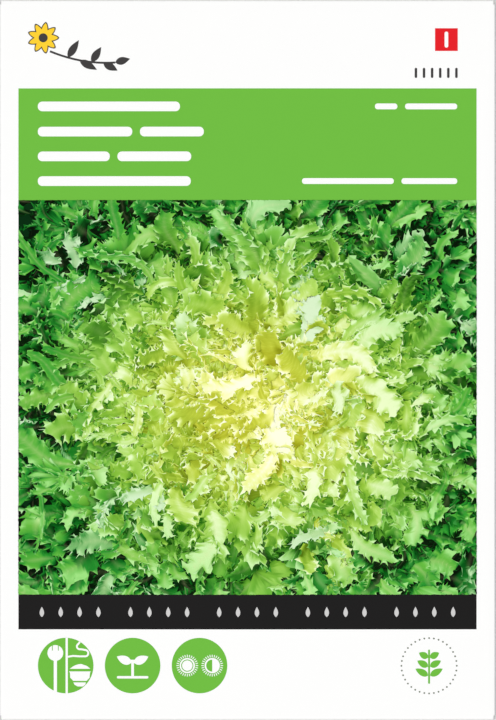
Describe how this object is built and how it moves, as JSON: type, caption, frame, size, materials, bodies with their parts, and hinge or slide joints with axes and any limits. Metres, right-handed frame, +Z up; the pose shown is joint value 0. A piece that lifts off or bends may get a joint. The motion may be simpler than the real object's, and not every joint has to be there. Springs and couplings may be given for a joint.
{
  "type": "seed packet",
  "caption": "Flat sealed paper seed packet, printed on its front, folded and glued from one sheet, with loose seeds inside.",
  "frame": {"origin": "on the surface the packet lies on, under the middle of its outline", "axes": "+X to the right of the printed front, +Y towards the packet's top, +Z up out of the printed front"},
  "size_m": [0.11, 0.16, 0.003],
  "materials": {
    "coated_paper": "satin",
    "dried_glue": "satin",
    "seed_husk": "matte"
  },
  "bodies": {
    "root": {"paper_envelope": "coated_paper", "seam_glue": "dried_glue", "bottom_flap_glue": "dried_glue", "top_flap_glue": "dried_glue", "seed_heap": "seed_husk", "seed_01": "seed_husk", "seed_02": "seed_husk", "seed_03": "seed_husk", "seed_04": "seed_husk", "seed_05": "seed_husk", "seed_06": "seed_husk", "seed_07": "seed_husk", "seed_08": "seed_husk", "seed_09": "seed_husk", "seed_10": "seed_husk", "seed_11": "seed_husk", "seed_12": "seed_husk", "seed_13": "seed_husk", "seed_14": "seed_husk", "seed_15": "seed_husk", "seed_16": "seed_husk", "seed_17": "seed_husk", "seed_18": "seed_husk", "seed_19": "seed_husk", "seed_20": "seed_husk", "seed_21": "seed_husk", "seed_22": "seed_husk", "seed_23": "seed_husk", "seed_24": "seed_husk", "seed_25": "seed_husk", "seed_26": "seed_husk", "seed_27": "seed_husk", "seed_28": "seed_husk", "seed_29": "seed_husk", "seed_30": "seed_husk", "seed_31": "seed_husk", "seed_32": "seed_husk", "seed_33": "seed_husk", "seed_34": "seed_husk", "seed_35": "seed_husk", "seed_36": "seed_husk", "seed_37": "seed_husk", "seed_38": "seed_husk", "seed_39": "seed_husk", "seed_40": "seed_husk"}
  },
  "joints": []
}
